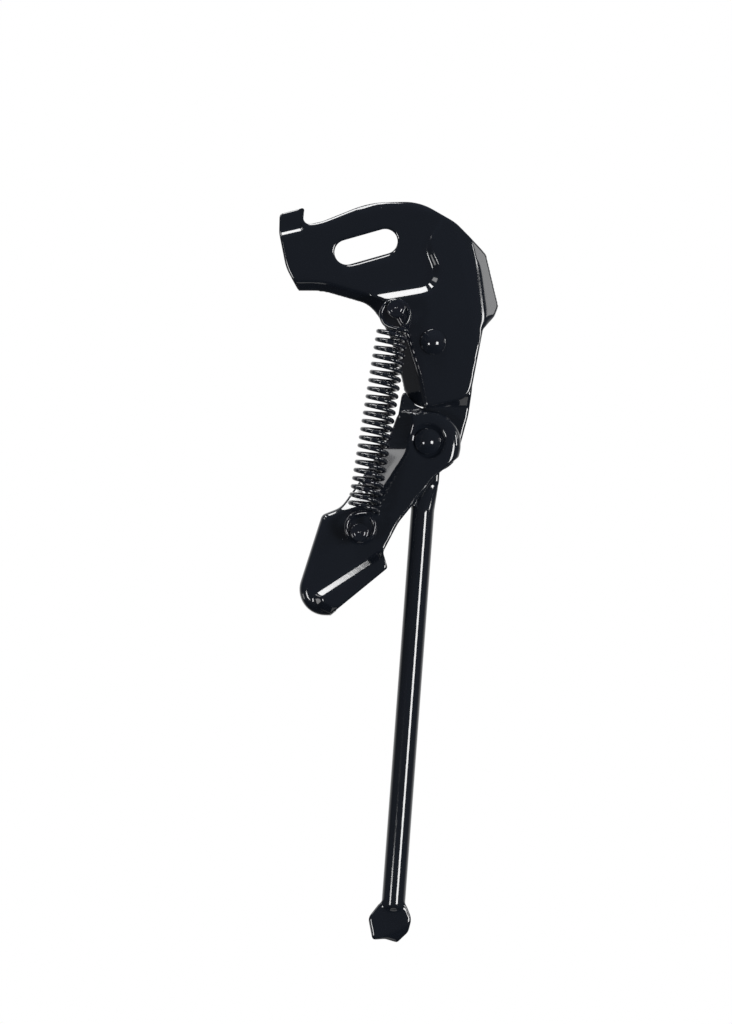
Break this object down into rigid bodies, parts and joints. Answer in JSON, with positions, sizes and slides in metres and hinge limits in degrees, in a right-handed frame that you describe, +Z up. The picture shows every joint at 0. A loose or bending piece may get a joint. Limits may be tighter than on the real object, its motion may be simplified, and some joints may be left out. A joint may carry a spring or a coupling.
{
  "type": "bicycle kickstand",
  "caption": "Rear-axle bicycle kickstand: pressed bracket with an axle slot, swinging rod leg with a foot lever, and an over-centre coil spring, painted gloss black.",
  "frame": {"origin": "middle of the axle slot, on the face that rests on the bicycle's frame end", "axes": "+Z up, -Y out of the bicycle towards the rider's foot, +X towards the rear of the bicycle"},
  "size_m": [0.0935, 0.031, 0.314],
  "materials": {
    "paint": "gloss",
    "spring_steel": "gloss"
  },
  "bodies": {
    "bracket": {"mounting_bracket": "paint", "pivot_plate": "paint", "plate_rivet": "paint", "upper_spring_post": "paint", "pivot_rivet": "paint"},
    "leg": {"kick_lever": "paint", "leg_rod": "paint", "leg_weld": "paint", "lower_spring_post": "paint"},
    "spring": {"return_spring": "spring_steel"}
  },
  "joints": [
    {"name": "leg_pivot", "type": "hinge", "parent": "bracket", "child": "leg", "pos_m": [0.0262, -0.00668, -0.083], "axis": [0, -0.9986, 0.0523], "range_deg": [0, 99.6], "deforming": ["return_spring"]},
    {"name": "spring_swing", "type": "hinge", "parent": "bracket", "child": "spring", "pos_m": [0.0128, -0.00377, -0.02758], "axis": [0, -0.9986, 0.0523], "range_deg": [0, 45.63]}
  ],
  "couplings": [
    {"joint": "spring_swing", "follows": "leg_pivot", "ratio": 0.4581}
  ]
}
